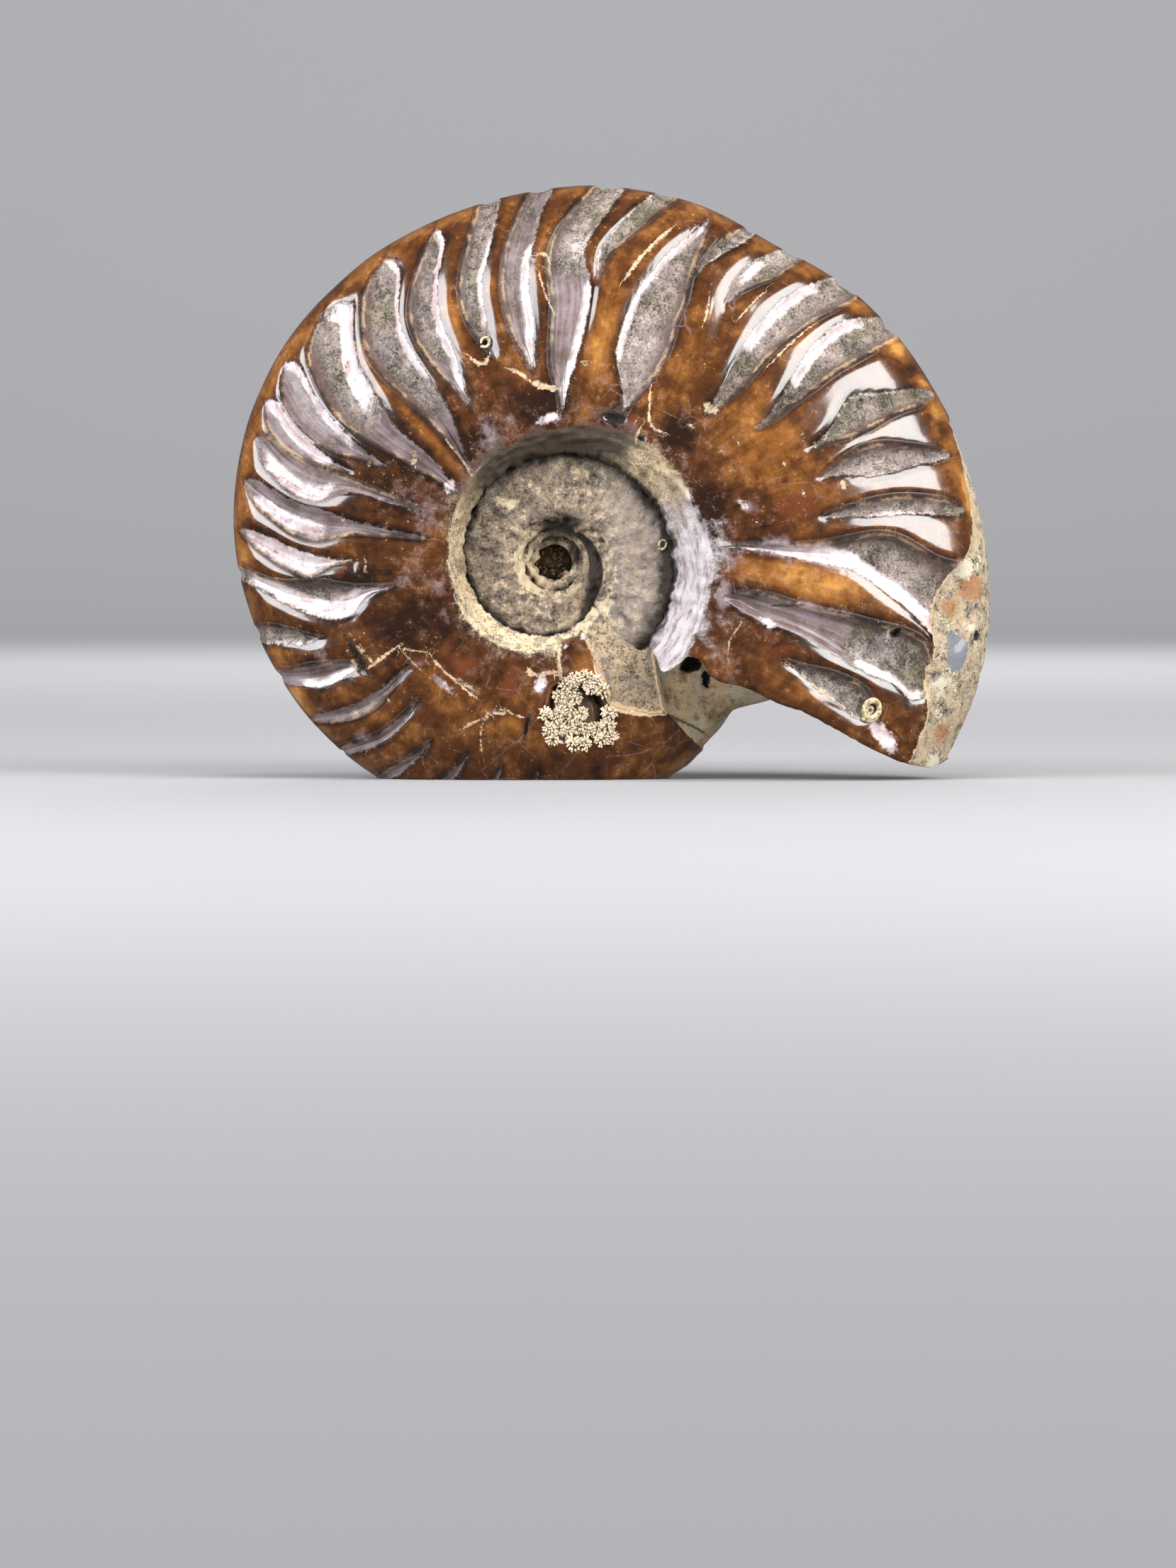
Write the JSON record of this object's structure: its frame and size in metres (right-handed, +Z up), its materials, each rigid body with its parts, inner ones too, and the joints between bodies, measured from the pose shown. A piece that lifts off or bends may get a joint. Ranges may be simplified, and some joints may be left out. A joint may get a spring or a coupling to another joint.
{
  "type": "cleoniceras ammonite",
  "caption": "Polished coiled fossil shell with curved ribs, sunken umbilicus, stone-filled mouth and a crust of small crystals, standing upright on a small flat.",
  "frame": {"origin": "bottom centre of the object's box, at the height of the flat that it stands on", "axes": "+Z up, +X to the right and +Y away from a viewer who faces the front flank; the coil axis runs along Y"},
  "size_m": [0.1202, 0.0376, 0.0941],
  "materials": {
    "fossil_shell": "polished brown shell with dull grey-beige furrows and some nacre",
    "calcite": "dull beige crystals"
  },
  "bodies": {
    "root": {"ammonite": "fossil_shell", "calcite_crystals": "calcite"}
  },
  "joints": []
}
